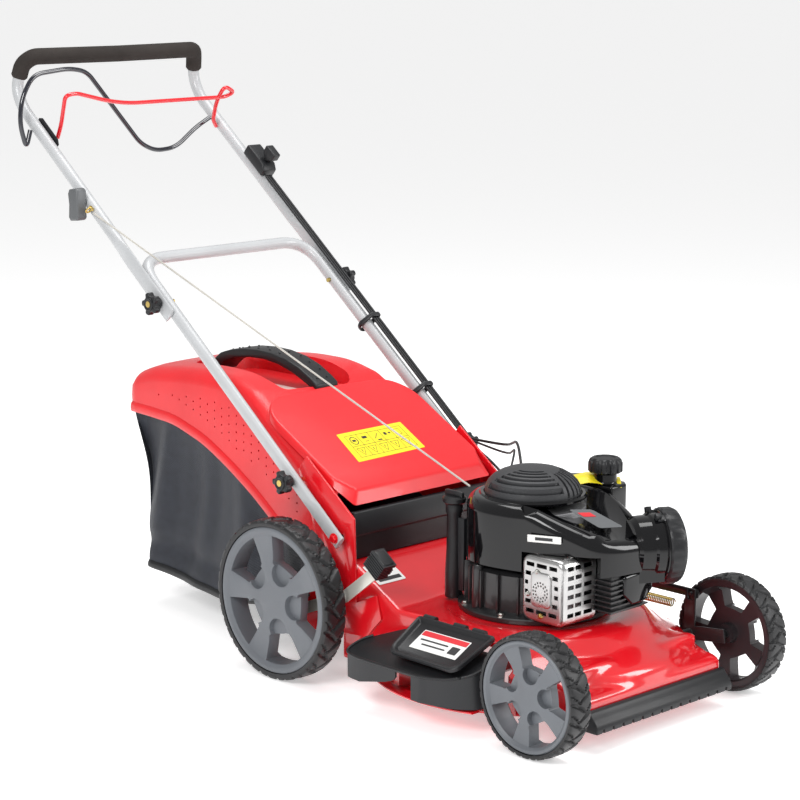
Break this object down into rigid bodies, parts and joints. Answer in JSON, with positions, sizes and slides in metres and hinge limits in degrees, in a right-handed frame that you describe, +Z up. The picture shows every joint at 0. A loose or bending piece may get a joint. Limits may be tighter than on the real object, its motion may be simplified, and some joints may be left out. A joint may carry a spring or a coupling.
{
  "type": "walk-behind lawn mower",
  "caption": "Petrol rotary lawn mower with steel deck, folding tube handle, rear grass catcher, side chute and single-lever cut height.",
  "frame": {"origin": "centre of the footprint of the whole mower, on the ground plane", "axes": "+Z up, -Y the direction of travel, +X the left-hand side of the person pushing"},
  "size_m": [0.574, 1.469, 1.0433],
  "materials": {
    "red_paint": "glossy red powder coat",
    "red_plastic": "red moulded plastic, fine texture",
    "grey_paint": "light grey powder coat",
    "grey_plastic": "grey moulded plastic",
    "black_plastic": "black moulded plastic",
    "gloss_black": "glossy black plastic",
    "black_paint": "black enamel",
    "tyre_rubber": "black tread rubber",
    "foam": "closed-cell foam",
    "bag_mesh": "woven synthetic mesh",
    "steel": "bare pressed steel",
    "aluminium": "cast aluminium",
    "brass": "yellow passivated wire",
    "rope": "braided polyester cord",
    "indicator": "translucent flap"
  },
  "bodies": {
    "deck": {"deck_shell": "red_paint", "front_bumper": "black_plastic", "rear_bulkhead": "black_plastic", "bracket_right": "red_paint", "bracket_left": "red_paint", "engine_block": "black_paint", "engine_cowl": "gloss_black", "fan_grille": "black_plastic", "muffler_guard": "steel", "fuel_tank": "gloss_black", "air_filter_base": "gloss_black", "air_filter_cover": "black_plastic", "dipstick_tube": "black_plastic", "lift_spring": "brass"},
    "fuel_cap": {"fuel_cap": "black_plastic"},
    "dipstick": {"dipstick_cap": "black_plastic"},
    "crank": {"crankshaft": "steel", "flywheel": "aluminium", "blade_adapter": "aluminium", "blade": "steel", "blade_bolt": "steel"},
    "rear_axle": {"rear_axle": "black_paint", "height_lever": "grey_paint", "lever_grip": "black_plastic", "gearbox": "aluminium"},
    "front_axle": {"front_axle": "black_paint"},
    "link": {"link_rod": "black_paint"},
    "rear_wheel_right": {"rear_rim_right": "grey_plastic", "rear_tyre_right": "tyre_rubber"},
    "rear_wheel_left": {"rear_rim_left": "grey_plastic", "rear_tyre_left": "tyre_rubber"},
    "front_wheel_right": {"front_rim_right": "grey_plastic", "front_tyre_right": "tyre_rubber"},
    "front_wheel_left": {"front_rim_left": "grey_plastic", "front_tyre_left": "tyre_rubber"},
    "door": {"rear_door": "red_plastic"},
    "catcher": {"catcher_lid": "red_plastic", "catcher_bag": "bag_mesh", "catcher_handle": "black_plastic"},
    "indicator": {"fill_indicator": "indicator"},
    "flap": {"side_flap": "black_plastic"},
    "chute": {"side_chute": "black_plastic"},
    "lower_handle": {"lower_handle": "grey_paint", "throttle_cable": "black_plastic", "stop_cable": "black_plastic", "drive_cable": "black_plastic", "starter_rope": "rope"},
    "height_knob_right": {"height_knob_right": "black_plastic"},
    "height_knob_left": {"height_knob_left": "black_plastic"},
    "upper_handle": {"upper_handle": "grey_paint", "foam_grip": "foam", "bail_bracket": "black_plastic", "throttle_housing": "black_plastic", "rope_guide": "brass"},
    "fold_knob_right": {"fold_knob_right": "black_plastic"},
    "fold_knob_left": {"fold_knob_left": "black_plastic"},
    "drive_bail": {"drive_bail": "red_paint"},
    "stop_bail": {"stop_bail": "black_paint"},
    "throttle": {"throttle_lever": "black_plastic"},
    "starter": {"starter_handle": "grey_plastic"}
  },
  "joints": [
    {"name": "cut_height", "type": "hinge", "parent": "deck", "child": "rear_axle", "pos_m": [0.007, 0.01752, 0.082], "axis": [1, 0, 0], "range_deg": [-22, 8]},
    {"name": "front_height", "type": "hinge", "parent": "deck", "child": "front_axle", "pos_m": [0.007, -0.57088, 0.092], "axis": [1, 0, 0], "range_deg": [-25.2, 9.17], "deforming": ["lift_spring"]},
    {"name": "link_slide", "type": "slide", "parent": "deck", "child": "link", "axis": [0, 1, 0], "range_m": [-0.01113, 0.03043]},
    {"name": "rear_roll_right", "type": "hinge", "parent": "rear_axle", "child": "rear_wheel_right", "pos_m": [-0.249, -0.05548, 0.14], "axis": [1, 0, 0], "continuous": true},
    {"name": "rear_roll_left", "type": "hinge", "parent": "rear_axle", "child": "rear_wheel_left", "pos_m": [0.263, -0.05548, 0.14], "axis": [1, 0, 0], "continuous": true},
    {"name": "front_roll_right", "type": "hinge", "parent": "front_axle", "child": "front_wheel_right", "pos_m": [-0.243, -0.63448, 0.1], "axis": [1, 0, 0], "continuous": true},
    {"name": "front_roll_left", "type": "hinge", "parent": "front_axle", "child": "front_wheel_left", "pos_m": [0.257, -0.63448, 0.1], "axis": [1, 0, 0], "continuous": true},
    {"name": "blade_spin", "type": "hinge", "parent": "deck", "child": "crank", "pos_m": [0.007, -0.40848, 0.2], "axis": [0, 0, 1], "continuous": true},
    {"name": "fuel_cap_turn", "type": "hinge", "parent": "deck", "child": "fuel_cap", "pos_m": [0.146, -0.44048, 0.365], "axis": [0, 0, 1], "range_deg": [0, 90]},
    {"name": "dipstick_turn", "type": "hinge", "parent": "deck", "child": "dipstick", "pos_m": [-0.067, -0.29048, 0.32], "axis": [0, 0, 1], "range_deg": [0, 90]},
    {"name": "door_lift", "type": "hinge", "parent": "deck", "child": "door", "pos_m": [0.007, -0.14448, 0.3], "axis": [1, 0, 0], "range_deg": [0, 50], "stiffness_Nm_per_rad": 0.6, "springref_deg": -34.38},
    {"name": "catcher_off", "type": "slide", "parent": "deck", "child": "catcher", "axis": [0, 1, 0], "range_m": [0, 0.62]},
    {"name": "indicator_lift", "type": "hinge", "parent": "catcher", "child": "indicator", "pos_m": [-0.013, 0.22452, 0.448], "axis": [1, 0, 0], "range_deg": [-12, 0]},
    {"name": "flap_lift", "type": "hinge", "parent": "deck", "child": "flap", "pos_m": [-0.1965, -0.42448, 0.156], "axis": [0, 1, 0], "range_deg": [0, 62], "stiffness_Nm_per_rad": 0.3, "springref_deg": -34.38},
    {"name": "chute_off", "type": "slide", "parent": "deck", "child": "chute", "axis": [-0.9153, 0, -0.4028], "range_m": [0, 0.12]},
    {"name": "handle_height", "type": "hinge", "parent": "deck", "child": "lower_handle", "pos_m": [0.007, -0.13878, 0.2522], "axis": [1, 0, 0], "range_deg": [-6, 6]},
    {"name": "height_knob_turn_right", "type": "hinge", "parent": "lower_handle", "child": "height_knob_right", "pos_m": [-0.209, -0.03536, 0.33583], "axis": [1, 0, 0], "continuous": true},
    {"name": "height_knob_turn_left", "type": "hinge", "parent": "lower_handle", "child": "height_knob_left", "pos_m": [0.223, -0.03536, 0.33583], "axis": [1, 0, 0], "continuous": true},
    {"name": "handle_fold", "type": "hinge", "parent": "lower_handle", "child": "upper_handle", "pos_m": [0.007, 0.30056, 0.60746], "axis": [1, 0, 0], "range_deg": [0, 140], "deforming": ["throttle_cable", "stop_cable", "drive_cable", "starter_rope"]},
    {"name": "fold_knob_turn_right", "type": "hinge", "parent": "upper_handle", "child": "fold_knob_right", "pos_m": [-0.217, 0.30056, 0.60746], "axis": [1, 0, 0], "continuous": true},
    {"name": "fold_knob_turn_left", "type": "hinge", "parent": "upper_handle", "child": "fold_knob_left", "pos_m": [0.231, 0.30056, 0.60746], "axis": [1, 0, 0], "continuous": true},
    {"name": "drive_bail_swing", "type": "hinge", "parent": "upper_handle", "child": "drive_bail", "pos_m": [0.007, 0.63492, 0.87783], "axis": [1, 0, 0], "range_deg": [-35, 0], "stiffness_Nm_per_rad": 1.2, "springref_deg": 28.65},
    {"name": "stop_bail_swing", "type": "hinge", "parent": "upper_handle", "child": "stop_bail", "pos_m": [0.007, 0.65436, 0.89355], "axis": [1, 0, 0], "range_deg": [-9, 0], "stiffness_Nm_per_rad": 1.2, "springref_deg": 28.65},
    {"name": "throttle_swing", "type": "hinge", "parent": "upper_handle", "child": "throttle", "pos_m": [0.229, 0.50246, 0.82217], "axis": [1, 0, 0], "range_deg": [-25, 25]},
    {"name": "starter_pull", "type": "slide", "parent": "upper_handle", "child": "starter", "axis": [-0.1908, 0.8727, 0.4494], "range_m": [0, 0.35], "stiffness_N_per_m": 20, "springref_m": -0.3}
  ],
  "couplings": [
    {"joint": "front_height", "follows": "cut_height", "ratio": 1.1449},
    {"joint": "link_slide", "follows": "cut_height", "m_per_rad": -0.079}
  ]
}
